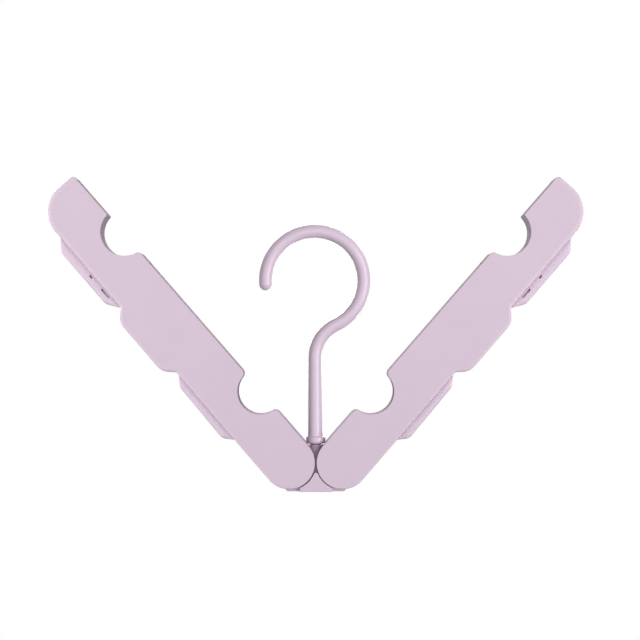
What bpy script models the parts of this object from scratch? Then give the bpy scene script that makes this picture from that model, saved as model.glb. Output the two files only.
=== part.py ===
"""Folding travel hanger: a swivel hook on a small hub, and two hollow arms that fold up round the hook.

Metres, +Z up, +X to the viewer's right, +Y away from the viewer. The origin is the seat of the rail:
the top of the inside of the hook's curl, on the swivel axis. Each arm is drawn in its own frame, with
x along the arm from its pivot and z across it, +z towards the edge that carries the strap notches.
"""

import math
from collections import namedtuple

import bmesh
import bpy
from mathutils import Vector

# Fits and facets
TOUCH_GAP = 0.0003
OVERRUN = 0.0020
ARC_STEP = math.radians(13)
ROD_STEP = math.radians(9)
ROD_SIDES = 16
STUD_SIDES = 20
SCREW_SIDES = 12
SOFT_EDGE_ROWS = 3
SHARP_ANGLE = math.radians(30)

# Arm shells
ARM_DEPTH = 0.0140
ARM_HALF_WIDTH = 0.0131
WALL = 0.0018
TAPER = 0.0009
ROOT_EDGE = 0.0010
TIP_EDGE = 0.0024
CRISP_EDGE = 0.0003
CAVITY_RADIUS = 0.0012

# Closed tip of each arm
TIP_LENGTH = 0.05775
TIP_LOWER_RADIUS = 0.0153
TIP_UPPER_RADIUS = 0.0018

# Strap notches in the arms' upper edges
INNER_NOTCH_RADIUS = 0.01145
INNER_NOTCH_DROP = 0.0005
INNER_NOTCH_PLACE = 0.0364
OUTER_NOTCH_RADIUS = 0.01195
OUTER_NOTCH_RISE = 0.0001
OUTER_NOTCH_SETBACK = 0.01935
INNER_MOUTH_RADIUS = 0.0030
OUTER_ROOT_MOUTH_RADIUS = 0.0025
OUTER_TIP_MOUTH_RADIUS = 0.0007

# Lobe of each front shell, round the folded hook's curl
LOBE_FOOT_RADIUS = 0.0018
FRONT_LOBE_REACH = 0.0054
FRONT_LOBE_LEAD = 0.0204
FRONT_LOBE_LENGTH = 0.0429
FRONT_LOBE_FLANK = 0.0051
FRONT_LOBE_RADIUS = 0.0085

# Tabs of each back shell
INNER_TAB_ROOT_REACH = 0.0050
INNER_TAB_TIP_REACH = 0.0044
INNER_TAB_PLACE = 0.0259
INNER_TAB_LENGTH = 0.0443
INNER_TAB_FLANK = 0.0050
INNER_TAB_RADIUS = 0.0052
OUTER_TAB_REACH = 0.0054
OUTER_TAB_LEAD = 0.0086
OUTER_TAB_LENGTH = 0.0482
OUTER_TAB_ROOT_FLANK = 0.0079
OUTER_TAB_TIP_FLANK = 0.0053
OUTER_TAB_RADIUS = 0.0060

# Slots in the face of the outer tab
SLOT_WIDTH = 0.0009
SLOT_DEPTH = 0.0030
SLOT_DROP = 0.0013
LONG_SLOT_INSET = 0.0090
LONG_SLOT_LENGTH = 0.0058
SHORT_SLOT_LENGTH = 0.0020
SLOT_SPACING = 0.0129

# Pivots
PHOTO_ANGLE = math.radians(49.25)
DROOP_ANGLE = math.radians(12)
END_GAP = 0.0008
STUD_DIAMETER = 0.0070
WASHER_DIAMETER = 0.0130
WASHER_THICKNESS = 0.0004

# Hub
LUG_RADIUS = 0.0088
LUG_FOOT_ANGLE = math.radians(-62)
HUB_TOP = 0.0090
HUB_SHOULDER = 0.0060
HUB_EDGE = 0.0005
BASE_LIP = 0.00135
BASE_THICKNESS = 0.0032
BASE_CHAMFER = 0.0009
WING_REACH = 0.0016
KEYSTONE_DROP = 0.0054
KEYSTONE_PEAK = 0.0009
KEYSTONE_HALF_WIDTH = 0.0080
SOCKET_WALL = 0.0009
RECESS_FOOT = 0.0020
RECESS_DEPTH = 0.0022

# Hook
ROD_DIAMETER = 0.0066
STEM_DIAMETER = 0.0072
STEM_FOOT_OFFSET = -0.0003
STEM_OFFSET = -0.0005
CURL_HEIGHT = 0.0916
CURL_OFFSET = -0.0006
CURL_END = math.radians(184)
CURL_CLEARANCE = 0.0021
BEND_RADIUS = 0.0187
CHANNEL_CLEARANCE = 0.0012
ROUND_END_ANGLES = (math.radians(30), math.radians(55), math.radians(78))

# Hook collar, spindle and flange
COLLAR_DIAMETER = 0.0097
COLLAR_HEIGHT = 0.0037
COLLAR_BOWL_WIDTH = 0.0015
COLLAR_BOWL_HEIGHT = 0.0013
COLLAR_ROUND = 0.0008
COLLAR_STEP = math.radians(27)
FLANGE_DROP = 0.0008
FLANGE_HEIGHT = 0.0018
FLANGE_LEDGE = 0.0008

# Screws
SCREW_DIAMETER = 0.0020
SCREW_HEAD_DIAMETER = 0.0042
SCREW_HEAD_HEIGHT = 0.0012
SCREW_HEAD_DEPTH = 0.0004
SCREW_REACH = 0.0080
SCREW_CROWN_SHARE = 0.65
POST_DIAMETER = 0.0050
PIVOT_SCREW_DIAMETER = 0.0030
PIVOT_SCREW_HEAD_DIAMETER = 0.0056
ROOT_SCREW_PLACE = 0.0300
LOWER_SCREW_RISE = 0.0051
TIP_SCREW_INSET = 0.0117
TIP_SCREW_RISE = 0.0093
HUB_SCREW_RISE = 0.0044

# Depths, front to back, from the middle plane
FACE = ARM_DEPTH / 2
PLATE_INSIDE = FACE - WALL
PARTING = TOUCH_GAP / 2
LUG_FACE = PLATE_INSIDE - WASHER_THICKNESS - 2 * TOUCH_GAP

# Places that follow from the sizes above
WALL_INSIDE = ARM_HALF_WIDTH - WALL
HALF_SPACING = ARM_HALF_WIDTH + END_GAP / 2
CURL_REACH = HALF_SPACING + WALL_INSIDE + FRONT_LOBE_REACH - CURL_CLEARANCE
CURL_RADIUS = CURL_REACH - ROD_DIAMETER / 2
PIVOT_HEIGHT = -(CURL_HEIGHT + CURL_RADIUS - ROD_DIAMETER / 2)
CHANNEL_END = math.hypot(HALF_SPACING - CURL_OFFSET, CURL_HEIGHT) + CURL_REACH + CHANNEL_CLEARANCE
ARM_LENGTH = CHANNEL_END + TIP_LENGTH
OUTER_NOTCH_PLACE = CHANNEL_END + OUTER_NOTCH_SETBACK
FRONT_LOBE_PLACE = CURL_HEIGHT - FRONT_LOBE_LEAD
OUTER_TAB_PLACE = CHANNEL_END - OUTER_TAB_LEAD
LONG_SLOT_PLACE = OUTER_TAB_PLACE + LONG_SLOT_INSET
SHORT_SLOT_PLACE = LONG_SLOT_PLACE + SLOT_SPACING
BASE_DEPTH = ARM_HALF_WIDTH + BASE_LIP
BASE_HALF_WIDTH = HALF_SPACING + WING_REACH
COLLAR_BASE = HUB_TOP + TOUCH_GAP
FLANGE_RADIUS = LUG_FACE - SOCKET_WALL - TOUCH_GAP
SPINDLE_RADIUS = FLANGE_RADIUS - FLANGE_LEDGE
TUBE_RADIUS = SPINDLE_RADIUS + TOUCH_GAP + SOCKET_WALL
SCREW_HOLE_RADIUS = SCREW_DIAMETER / 2 + TOUCH_GAP
STUD_HOLE_RADIUS = STUD_DIAMETER / 2 + TOUCH_GAP

Lobe = namedtuple("Lobe", "start length root_reach tip_reach root_flank tip_flank radius")
FRONT_LOBE = Lobe(
    FRONT_LOBE_PLACE, FRONT_LOBE_LENGTH, FRONT_LOBE_REACH, FRONT_LOBE_REACH,
    FRONT_LOBE_FLANK, FRONT_LOBE_FLANK, FRONT_LOBE_RADIUS
)
INNER_TAB = Lobe(
    INNER_TAB_PLACE, INNER_TAB_LENGTH, INNER_TAB_ROOT_REACH, INNER_TAB_TIP_REACH,
    INNER_TAB_FLANK, INNER_TAB_FLANK, INNER_TAB_RADIUS
)
OUTER_TAB = Lobe(
    OUTER_TAB_PLACE, OUTER_TAB_LENGTH, OUTER_TAB_REACH, OUTER_TAB_REACH,
    OUTER_TAB_ROOT_FLANK, OUTER_TAB_TIP_FLANK, OUTER_TAB_RADIUS
)
Notch = namedtuple("Notch", "place height radius tip_mouth root_mouth")
INNER_NOTCH = Notch(
    INNER_NOTCH_PLACE, ARM_HALF_WIDTH - INNER_NOTCH_DROP, INNER_NOTCH_RADIUS,
    INNER_MOUTH_RADIUS, INNER_MOUTH_RADIUS
)
OUTER_NOTCH = Notch(
    OUTER_NOTCH_PLACE, ARM_HALF_WIDTH + OUTER_NOTCH_RISE, OUTER_NOTCH_RADIUS,
    OUTER_TIP_MOUTH_RADIUS, OUTER_ROOT_MOUTH_RADIUS
)
LONG_SLOT = (LONG_SLOT_PLACE, LONG_SLOT_PLACE + LONG_SLOT_LENGTH)
SHORT_SLOT = (SHORT_SLOT_PLACE, SHORT_SLOT_PLACE + SHORT_SLOT_LENGTH)
SHELL_SCREWS = {
    "root": (ROOT_SCREW_PLACE, -WALL_INSIDE + LOWER_SCREW_RISE),
    "middle": (OUTER_NOTCH_PLACE, -WALL_INSIDE + LOWER_SCREW_RISE),
    "tip": (ARM_LENGTH - TIP_SCREW_INSET, -WALL_INSIDE + TIP_SCREW_RISE),
}
HUB_SCREW_HEIGHT = -BASE_DEPTH + HUB_SCREW_RISE

SIDES = {"left": -1, "right": 1}


def clear_scene():
    for item in list(bpy.data.objects):
        bpy.data.objects.remove(item, do_unlink=True)


def make_material(name, colour, roughness, metallic):
    material = bpy.data.materials.new(name)
    material.use_nodes = True
    shader = material.node_tree.nodes["Principled BSDF"]
    shader.inputs["Base Color"].default_value = (*colour, 1)
    shader.inputs["Roughness"].default_value = roughness
    shader.inputs["Metallic"].default_value = metallic
    return material


def lilac_plastic():
    return make_material("lilac_plastic", (0.680, 0.558, 0.665), 0.48, 0)


def hub_plastic():
    return make_material("hub_plastic", (0.640, 0.525, 0.630), 0.45, 0)


def hook_plastic():
    return make_material("hook_plastic", (0.640, 0.530, 0.635), 0.28, 0)


def washer_nylon():
    return make_material("washer_nylon", (0.720, 0.710, 0.690), 0.40, 0)


def screw_steel():
    return make_material("screw_steel", (0.560, 0.555, 0.545), 0.30, 1)


def arc(centre, radius, start, end, step=ARC_STEP):
    """Points along an arc, both ends included; a falling angle runs clockwise."""
    steps = max(2, math.ceil(abs(end - start) / step))
    angles = [start + (end - start) * i / steps for i in range(steps + 1)]
    return [(centre[0] + radius * math.cos(a), centre[1] + radius * math.sin(a)) for a in angles]


def rounded(corners):
    """An outline from corners (x, z, radius): each corner with a radius becomes a tangent arc."""
    points = []
    for i, (x, z, radius) in enumerate(corners):
        if radius == 0:
            points.append((x, z))
            continue
        here = Vector((x, z))
        back = (Vector(corners[i - 1][:2]) - here).normalized()
        ahead = (Vector(corners[(i + 1) % len(corners)][:2]) - here).normalized()
        half = math.acos(max(-1, min(1, back.dot(ahead)))) / 2
        centre = here + (back + ahead).normalized() * (radius / math.sin(half))
        start = here + back * (radius / math.tan(half)) - centre
        end = here + ahead * (radius / math.tan(half)) - centre
        first = math.atan2(start.y, start.x)
        turn = math.remainder(math.atan2(end.y, end.x) - first, math.tau)
        points += arc(centre, radius, first, first + turn)
    return points


def sharp(points):
    return [(x, z, 0) for x, z in points]


def new_object(name, mesh_builder, material, parent=None):
    mesh = bpy.data.meshes.new(name)
    mesh_builder.to_mesh(mesh)
    mesh_builder.free()
    piece = bpy.data.objects.new(name, mesh)
    bpy.context.collection.objects.link(piece)
    piece.parent = parent
    if material is None:
        piece.hide_render = True
        piece.display_type = "WIRE"
    else:
        mesh.materials.append(material)
        mesh.shade_smooth()
        mesh.set_sharp_from_angle(angle=SHARP_ANGLE)
    return piece


def join_rings(builder, rings):
    """Side faces between following rings of vertices, and a cap on each end."""
    for lower, upper in zip(rings, rings[1:]):
        for i in range(len(lower)):
            j = (i + 1) % len(lower)
            builder.faces.new((lower[i], lower[j], upper[j], upper[i]))
    builder.faces.new(list(reversed(rings[0])))
    builder.faces.new(rings[-1])
    bmesh.ops.recalc_face_normals(builder, faces=builder.faces)


def prism(outline, front, back, side=1):
    """A plain slab of an (x, z) outline between two depths; side -1 mirrors it in x."""
    builder = bmesh.new()
    rings = [[builder.verts.new((side * x, y, z)) for x, z in outline] for y in (front, back)]
    join_rings(builder, rings)
    return builder


def inward(outline):
    """For each point of an anticlockwise outline, the mitred direction to the inside."""
    ways = []
    for i, (x, z) in enumerate(outline):
        before = Vector((x, z)) - Vector(outline[i - 1])
        after = Vector(outline[(i + 1) % len(outline)]) - Vector((x, z))
        first = Vector((-before.y, before.x)).normalized()
        second = Vector((-after.y, after.x)).normalized()
        middle = (first + second).normalized()
        ways.append(middle / middle.dot(first))
    return ways


def soft_slab(outline, edges, face, parting, side):
    """A slab whose outer face has a rounded edge; edges gives the edge radius at each point."""
    builder = bmesh.new()
    ways = inward(outline)
    outward = math.copysign(1, face)
    rings = []
    for row in range(SOFT_EDGE_ROWS + 1):
        angle = math.pi / 2 * row / SOFT_EDGE_ROWS
        ring = []
        for (x, z), way, radius in zip(outline, ways, edges):
            inset = radius * (1 - math.sin(angle))
            depth = face - outward * radius * (1 - math.cos(angle))
            ring.append(builder.verts.new((side * (x + way.x * inset), depth, z + way.y * inset)))
        rings.append(ring)
    rings.append([builder.verts.new((side * x, parting, z)) for x, z in outline])
    join_rings(builder, rings)
    return builder


def lathe(profile, sides, centre=(0, 0)):
    """A turned solid about the Y axis through centre (x, z), from (y, radius) pairs front to back."""
    builder = bmesh.new()
    rings = []
    for y, radius in profile:
        ring = []
        for i in range(sides):
            angle = math.tau * i / sides
            x = centre[0] + radius * math.cos(angle)
            z = centre[1] + radius * math.sin(angle)
            ring.append(builder.verts.new((x, y, z)))
        rings.append(ring)
    join_rings(builder, rings)
    return builder


def cylinder(front, back, radius, sides, centre=(0, 0)):
    return lathe(((front, radius), (back, radius)), sides, centre)


def boolean(piece, tool, operation):
    modifier = piece.modifiers.new(tool.name, "BOOLEAN")
    modifier.operation = operation
    modifier.solver = "EXACT"
    modifier.object = tool


def smooth_normals(piece):
    """Keeps flat faces flat in the shading after the cuts."""
    modifier = piece.modifiers.new("smooth_normals", "WEIGHTED_NORMAL")
    modifier.keep_sharp = True
    modifier.weight = 100


def cut(piece, name, builder):
    tool = new_object(piece.name + "_" + name + "_cutter", builder, None, piece.parent)
    boolean(piece, tool, "DIFFERENCE")


def add(piece, name, builder):
    tool = new_object(piece.name + "_" + name + "_tool", builder, None, piece.parent)
    boolean(piece, tool, "UNION")


def empty(name, x, z, turn):
    frame = bpy.data.objects.new(name, None)
    bpy.context.collection.objects.link(frame)
    frame.location = (x, 0, z)
    frame.rotation_euler = (0, turn, 0)
    return frame


def rod_path():
    """Centre points, directions and radii up the spindle, collar and stem and round the curl."""
    stem = STEM_DIAMETER / 2
    rod = ROD_DIAMETER / 2
    collar = COLLAR_DIAMETER / 2
    collar_top = COLLAR_BASE + COLLAR_HEIGHT
    turned = [
        (-FLANGE_DROP - FLANGE_HEIGHT, FLANGE_RADIUS),
        (-FLANGE_DROP, FLANGE_RADIUS),
        (-FLANGE_DROP, SPINDLE_RADIUS),
        (COLLAR_BASE, SPINDLE_RADIUS),
    ]
    for drop, width in reversed(arc((0, 0), 1, 0, math.pi / 2, COLLAR_STEP)):
        height = COLLAR_BASE + COLLAR_BOWL_HEIGHT * (1 - width)
        turned.append((height, collar - COLLAR_BOWL_WIDTH * (1 - drop)))
    for height, radius in reversed(arc((0, 0), COLLAR_ROUND, 0, math.pi / 2, COLLAR_STEP)):
        turned.append((collar_top - COLLAR_ROUND + height, collar - COLLAR_ROUND + radius))

    run = BEND_RADIUS + STEM_OFFSET - CURL_OFFSET
    rise = math.sqrt((BEND_RADIUS + CURL_RADIUS) ** 2 - run ** 2)
    bend_centre = (BEND_RADIUS + STEM_OFFSET, CURL_HEIGHT - rise)
    curl_centre = (CURL_OFFSET, CURL_HEIGHT)
    meet = math.atan2(rise, -run)
    stations = [((0, z), math.pi / 2, radius) for z, radius in turned]
    stations.append(((STEM_FOOT_OFFSET, collar_top), math.pi / 2, stem))

    def along(centre, radius, start, end, sense):
        steps = math.ceil(abs(end - start) / ROD_STEP)
        for i in range(steps + 1):
            angle = start + (end - start) * i / steps
            place = (centre[0] + radius * math.cos(angle), centre[1] + radius * math.sin(angle))
            yield place, angle + sense * math.pi / 2

    bend = list(along(bend_centre, BEND_RADIUS, math.pi, meet, -1))
    curl = list(along(curl_centre, CURL_RADIUS, meet - math.pi, CURL_END, 1))
    for place, heading in bend + curl[1:]:
        stations.append((place, heading, rod))
    (x, z), heading, _ = stations[-1]
    for angle in ROUND_END_ANGLES:
        ahead = rod * math.sin(angle)
        place = (x + ahead * math.cos(heading), z + ahead * math.sin(heading))
        stations.append((place, heading, rod * math.cos(angle)))
    return stations


def make_hook(material):
    builder = bmesh.new()
    rings = []
    for (x, z), heading, radius in rod_path():
        ring = []
        for i in range(ROD_SIDES):
            angle = math.tau * i / ROD_SIDES
            across = radius * math.cos(angle)
            place = (x - across * math.sin(heading), radius * math.sin(angle), z + across * math.cos(heading))
            ring.append(builder.verts.new(place))
        rings.append(ring)
    join_rings(builder, rings)
    new_object("hook", builder, material, empty("hook_swivel", 0, PIVOT_HEIGHT, 0))


def hub_outline():
    """The hub between the arms' plates: two lugs, a flat base with short wings, a flat top."""
    lug_high = math.acos(HUB_SHOULDER / 2 / LUG_RADIUS)
    wing_inside = -BASE_DEPTH + BASE_THICKNESS
    right = [
        (BASE_HALF_WIDTH - BASE_CHAMFER, -BASE_DEPTH),
        (BASE_HALF_WIDTH, -BASE_DEPTH + BASE_CHAMFER),
        (BASE_HALF_WIDTH, wing_inside),
    ]
    right += arc((HALF_SPACING, 0), LUG_RADIUS, LUG_FOOT_ANGLE, math.pi - lug_high)
    right.append((HUB_SHOULDER, HUB_TOP))
    return right + [(-x, z) for x, z in reversed(right)]


def keystone_outline():
    """The face that fills the space between and below the arms' round ends."""
    radius = ARM_HALF_WIDTH + TOUCH_GAP
    top = math.pi + math.asin(KEYSTONE_DROP / radius)
    foot = math.pi + math.acos((HALF_SPACING - KEYSTONE_HALF_WIDTH) / radius)
    right = [(KEYSTONE_HALF_WIDTH, -BASE_DEPTH)]
    right += arc((HALF_SPACING, 0), radius, foot, top)
    peak = [(0, -KEYSTONE_DROP + KEYSTONE_PEAK)]
    return right + peak + [(-x, z) for x, z in reversed(right)]


def upright(builder):
    """Turns a lathed solid from the Y axis to the vertical one."""
    for vertex in builder.verts:
        x, y, z = vertex.co
        vertex.co = (x, -z, y)
    return builder


def swivel_tube(outward):
    """One half of the round wall about the hook's spindle, above the hollow for its flange."""
    lift = math.asin(PARTING / TUBE_RADIUS)
    half_round = arc((0, 0), TUBE_RADIUS, lift, math.pi - lift)
    return upright(prism([(x, -outward * z) for x, z in half_round], RECESS_FOOT - WALL, HUB_TOP))


def swivel_socket():
    """The hollow for the hook's spindle and flange, turned about the vertical axis."""
    spindle = SPINDLE_RADIUS + TOUCH_GAP
    flange = FLANGE_RADIUS + TOUCH_GAP
    profile = (
        (-FLANGE_DROP - FLANGE_HEIGHT - TOUCH_GAP, flange),
        (-FLANGE_DROP + TOUCH_GAP, flange),
        (-FLANGE_DROP + TOUCH_GAP, spindle),
        (HUB_TOP + OVERRUN, spindle),
    )
    return upright(lathe(profile, ROD_SIDES))


def recess_outline():
    """The hollow between the lugs, on both sides of the spindle's tube."""
    half = HALF_SPACING - LUG_RADIUS
    top = HUB_TOP + OVERRUN
    return [(-half, RECESS_FOOT), (half, RECESS_FOOT), (half, top), (-half, top)]


def make_hub_half(name, outward, material, frame):
    """One hub half; outward is -1 for the front half and 1 for the back half."""
    outline = hub_outline()
    slab = soft_slab(outline, [HUB_EDGE] * len(outline), outward * LUG_FACE, outward * PARTING, 1)
    piece = new_object(name, slab, material, frame)
    inside = outward * (LUG_FACE - WALL / 2)
    keystone = keystone_outline()
    add(piece, "keystone", soft_slab(keystone, [CRISP_EDGE] * len(keystone), outward * FACE, inside, 1))
    floor = outward * (LUG_FACE - RECESS_DEPTH)
    cut(piece, "recess", prism(recess_outline(), floor, outward * (LUG_FACE + OVERRUN)))
    add(piece, "tube", swivel_tube(outward))
    cut(piece, "swivel", swivel_socket())
    for side_name, side in SIDES.items():
        bore = cylinder(-ARM_DEPTH, ARM_DEPTH, STUD_HOLE_RADIUS, STUD_SIDES, (side * HALF_SPACING, 0))
        cut(piece, side_name + "_bore", bore)
    cut(piece, "screw", screw_hole(outward, (0, HUB_SCREW_HEIGHT)))
    smooth_normals(piece)


def screw_hole(outward, centre):
    """A screw's clearance hole: blind at the front, with a seat for the head at the back."""
    if outward < 0:
        return cylinder(-LUG_FACE, OVERRUN, SCREW_HOLE_RADIUS, SCREW_SIDES, centre)
    head_seat = FACE - SCREW_HEAD_DEPTH - SCREW_HEAD_HEIGHT - TOUCH_GAP
    head_hole = SCREW_HEAD_DIAMETER / 2 + TOUCH_GAP
    profile = (
        (-OVERRUN, SCREW_HOLE_RADIUS),
        (head_seat, SCREW_HOLE_RADIUS),
        (head_seat, head_hole),
        (FACE + OVERRUN, head_hole),
    )
    return lathe(profile, SCREW_SIDES, centre)


def upper_edge(place):
    """The height of the notched edge, which falls slightly towards the tip."""
    return ARM_HALF_WIDTH - TAPER * place / ARM_LENGTH


def mouth_arc(shape, side):
    """One rounded corner of a notch's mouth: its centre, radius and the angle where it meets the notch."""
    radius = shape.tip_mouth if side > 0 else shape.root_mouth
    height = upper_edge(shape.place + side * (shape.radius + radius)) - radius
    reach = shape.radius + radius
    lift = math.asin((height - shape.height) / reach)
    return (shape.place + side * reach * math.cos(lift), height), radius, lift


def notch(shape):
    """The outline round one strap notch, from its tip side to its pivot side."""
    tip_centre, tip_radius, tip_lift = mouth_arc(shape, 1)
    root_centre, root_radius, root_lift = mouth_arc(shape, -1)
    points = arc(tip_centre, tip_radius, math.pi / 2, math.pi + tip_lift)
    points += arc((shape.place, shape.height), shape.radius, tip_lift, -math.pi - root_lift)[1:-1]
    points += arc(root_centre, root_radius, -root_lift, math.pi / 2)
    return points


def lobe(shape, inset):
    """The corners of one lobe below an arm's lower edge; inset moves them inward for its hollow."""
    base = -ARM_HALF_WIDTH + inset
    root_slant = inset * math.tan(math.atan2(shape.root_reach, shape.root_flank) / 2)
    tip_slant = inset * math.tan(math.atan2(shape.tip_reach, shape.tip_flank) / 2)
    end = shape.start + shape.length
    return [
        (shape.start + root_slant, base, LOBE_FOOT_RADIUS),
        (shape.start + shape.root_flank + root_slant, base - shape.root_reach, shape.radius - inset),
        (end - shape.tip_flank - tip_slant, base - shape.tip_reach, shape.radius - inset),
        (end - tip_slant, base, LOBE_FOOT_RADIUS),
    ]


def arm_outline(lobes):
    corners = sharp(arc((0, 0), ARM_HALF_WIDTH, math.pi / 2, math.pi * 3 / 2))
    for shape in lobes:
        corners += lobe(shape, 0)
    corners.append((ARM_LENGTH, -ARM_HALF_WIDTH, TIP_LOWER_RADIUS))
    corners.append((ARM_LENGTH, upper_edge(ARM_LENGTH), TIP_UPPER_RADIUS))
    for shape in (OUTER_NOTCH, INNER_NOTCH):
        corners += sharp(notch(shape))
    return rounded(corners)


def edge_radii(outline):
    """Soft along the lower edge and the tip, crisp round the pivot end and the notched edge."""
    radii = []
    for x, z in outline:
        lower = z < -ARM_HALF_WIDTH + TOUCH_GAP and x > -TOUCH_GAP
        tip = x > ARM_LENGTH - TIP_UPPER_RADIUS + TOUCH_GAP
        corner = x > ARM_LENGTH - TIP_LOWER_RADIUS and z < 0
        soft = ROOT_EDGE + (TIP_EDGE - ROOT_EDGE) * x / ARM_LENGTH
        radii.append(soft if lower or tip or corner else CRISP_EDGE)
    return radii


def wall_start():
    """Where the lower wall begins, so that it meets the hub's wing at the lowest arm angle."""
    wing = BASE_HALF_WIDTH + TOUCH_GAP - HALF_SPACING
    return (wing + ARM_HALF_WIDTH * math.sin(DROOP_ANGLE)) / math.cos(DROOP_ANGLE)


def channel_outline(lobes):
    """The hollow that takes the hub and the hook, open at the pivot end and the notched edge."""
    low = -WALL_INSIDE
    outside = ARM_HALF_WIDTH + OVERRUN
    corners = [
        (-outside, outside, 0),
        (-outside, -outside, 0),
        (wall_start(), -outside, 0),
        (wall_start(), low, 0),
    ]
    for shape in lobes:
        corners += lobe(shape, WALL)
    corners.append((CHANNEL_END, low, CAVITY_RADIUS))
    corners.append((CHANNEL_END, outside, 0))
    return rounded(corners)


def tip_outline():
    """The closed hollow of the tip, following the outer notch and the tip's corners."""
    start = CHANNEL_END + WALL
    centre = (OUTER_NOTCH.place, OUTER_NOTCH.height)
    radius = OUTER_NOTCH.radius + WALL
    top = upper_edge(ARM_LENGTH) - WALL
    dip = math.asin((centre[1] - top) / radius)
    end = ARM_LENGTH - WALL
    corners = [
        (start, -WALL_INSIDE, CAVITY_RADIUS),
        (end, -WALL_INSIDE, TIP_LOWER_RADIUS - WALL),
        (end, top, TIP_UPPER_RADIUS / 2),
    ]
    corners += sharp(arc(centre, radius, -dip, -math.pi + dip))
    corners.append((start, top, CAVITY_RADIUS / 2))
    return rounded(corners)


def slot_outline(span):
    top = -ARM_HALF_WIDTH - SLOT_DROP
    return [(span[0], top - SLOT_WIDTH), (span[1], top - SLOT_WIDTH), (span[1], top), (span[0], top)]


def window_outline():
    """The length of the back shell's lower wall that the folded hook passes over."""
    wall_face = HALF_SPACING + WALL_INSIDE + CURL_OFFSET
    half = math.sqrt(CURL_REACH ** 2 - wall_face ** 2) + CHANNEL_CLEARANCE
    low = -ARM_HALF_WIDTH - OVERRUN
    start = CURL_HEIGHT - half
    end = CURL_HEIGHT + half
    return [(start, low), (end, low), (end, -WALL_INSIDE + WALL), (start, -WALL_INSIDE + WALL)]


def make_front_shell(name, side, material, frame):
    outline = arm_outline([FRONT_LOBE])
    slab = soft_slab(outline, edge_radii(outline), -FACE, -PARTING, side)
    piece = new_object(name, slab, material, frame)
    cut(piece, "channel", prism(channel_outline([FRONT_LOBE]), -PLATE_INSIDE, OVERRUN, side))
    cut(piece, "tip", prism(tip_outline(), -PLATE_INSIDE, OVERRUN, side))
    root = -FACE + WALL / 2
    stud_end = LUG_FACE - TOUCH_GAP * 3
    add(piece, "stud", cylinder(root, stud_end, STUD_DIAMETER / 2, STUD_SIDES))
    pivot_hole = PIVOT_SCREW_DIAMETER / 2 + TOUCH_GAP
    cut(piece, "stud_hole", cylinder(-LUG_FACE, LUG_FACE, pivot_hole, SCREW_SIDES))
    for place, (x, z) in SHELL_SCREWS.items():
        centre = (side * x, z)
        add(piece, place + "_post", cylinder(root, post_end(), POST_DIAMETER / 2, SCREW_SIDES, centre))
        hole = cylinder(-LUG_FACE, LUG_FACE, SCREW_HOLE_RADIUS, SCREW_SIDES, centre)
        cut(piece, place + "_hole", hole)
    smooth_normals(piece)


def post_end():
    """How far back a screw post reaches, to just short of the back shell's boss."""
    return PLATE_INSIDE - WALL - TOUCH_GAP


def make_back_shell(name, side, material, frame):
    outline = arm_outline([INNER_TAB, OUTER_TAB])
    slab = soft_slab(outline, edge_radii(outline), FACE, PARTING, side)
    piece = new_object(name, slab, material, frame)
    for slot_name, span in (("long_slot", LONG_SLOT), ("short_slot", SHORT_SLOT)):
        cut(piece, slot_name, prism(slot_outline(span), -OVERRUN, PARTING + SLOT_DEPTH, side))
    cut(piece, "channel", prism(channel_outline([]), -OVERRUN, PLATE_INSIDE, side))
    cut(piece, "tip", prism(tip_outline(), -OVERRUN, PLATE_INSIDE, side))
    window = ROD_DIAMETER / 2 + TOUCH_GAP * 2
    cut(piece, "window", prism(window_outline(), -OVERRUN, window, side))
    root = FACE - WALL / 2
    boss_end = LUG_FACE - TOUCH_GAP * 2
    add(piece, "pivot_boss", cylinder(boss_end, root, STUD_DIAMETER / 2, STUD_SIDES))
    cut(piece, "pivot_hole", pivot_screw_hole())
    for place, (x, z) in SHELL_SCREWS.items():
        centre = (side * x, z)
        boss = cylinder(PLATE_INSIDE - WALL, root, SCREW_HEAD_DIAMETER / 2 + WALL / 2, SCREW_SIDES, centre)
        add(piece, place + "_boss", boss)
        cut(piece, place + "_hole", screw_hole(1, centre))
    smooth_normals(piece)


def pivot_screw_hole():
    hole = PIVOT_SCREW_DIAMETER / 2 + TOUCH_GAP
    head_hole = PIVOT_SCREW_HEAD_DIAMETER / 2 + TOUCH_GAP
    head_seat = FACE - SCREW_HEAD_DEPTH - SCREW_HEAD_HEIGHT - TOUCH_GAP
    profile = ((0, hole), (head_seat, hole), (head_seat, head_hole), (FACE + OVERRUN, head_hole))
    return lathe(profile, SCREW_SIDES)


def make_screw(name, diameter, head_diameter, centre, material, frame):
    """A pan-head screw put in from the back, its head below the face."""
    tip = FACE - SCREW_REACH
    top = FACE - SCREW_HEAD_DEPTH
    seat = top - SCREW_HEAD_HEIGHT
    profile = (
        (tip, diameter / 4),
        (tip + diameter / 4, diameter / 2),
        (seat, diameter / 2),
        (seat, head_diameter / 2),
        (seat + SCREW_HEAD_HEIGHT / 2, head_diameter / 2),
        (top, head_diameter / 2 * SCREW_CROWN_SHARE),
    )
    new_object(name, lathe(profile, SCREW_SIDES, centre), material, frame)


def make_washer(name, outward, material, frame):
    middle = outward * (LUG_FACE + PLATE_INSIDE) / 2
    front = middle - WASHER_THICKNESS / 2
    back = middle + WASHER_THICKNESS / 2
    piece = new_object(name, cylinder(front, back, WASHER_DIAMETER / 2, STUD_SIDES), material, frame)
    hole = cylinder(front - OVERRUN, back + OVERRUN, STUD_HOLE_RADIUS, STUD_SIDES)
    cut(piece, "hole", hole)
    smooth_normals(piece)


def make_hub(plastic, steel):
    frame = empty("hub_frame", 0, PIVOT_HEIGHT, 0)
    make_hub_half("hub_front_half", -1, plastic, frame)
    make_hub_half("hub_back_half", 1, plastic, frame)
    centre = (0, HUB_SCREW_HEIGHT)
    make_screw("hub_screw", SCREW_DIAMETER, SCREW_HEAD_DIAMETER, centre, steel, frame)


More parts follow.
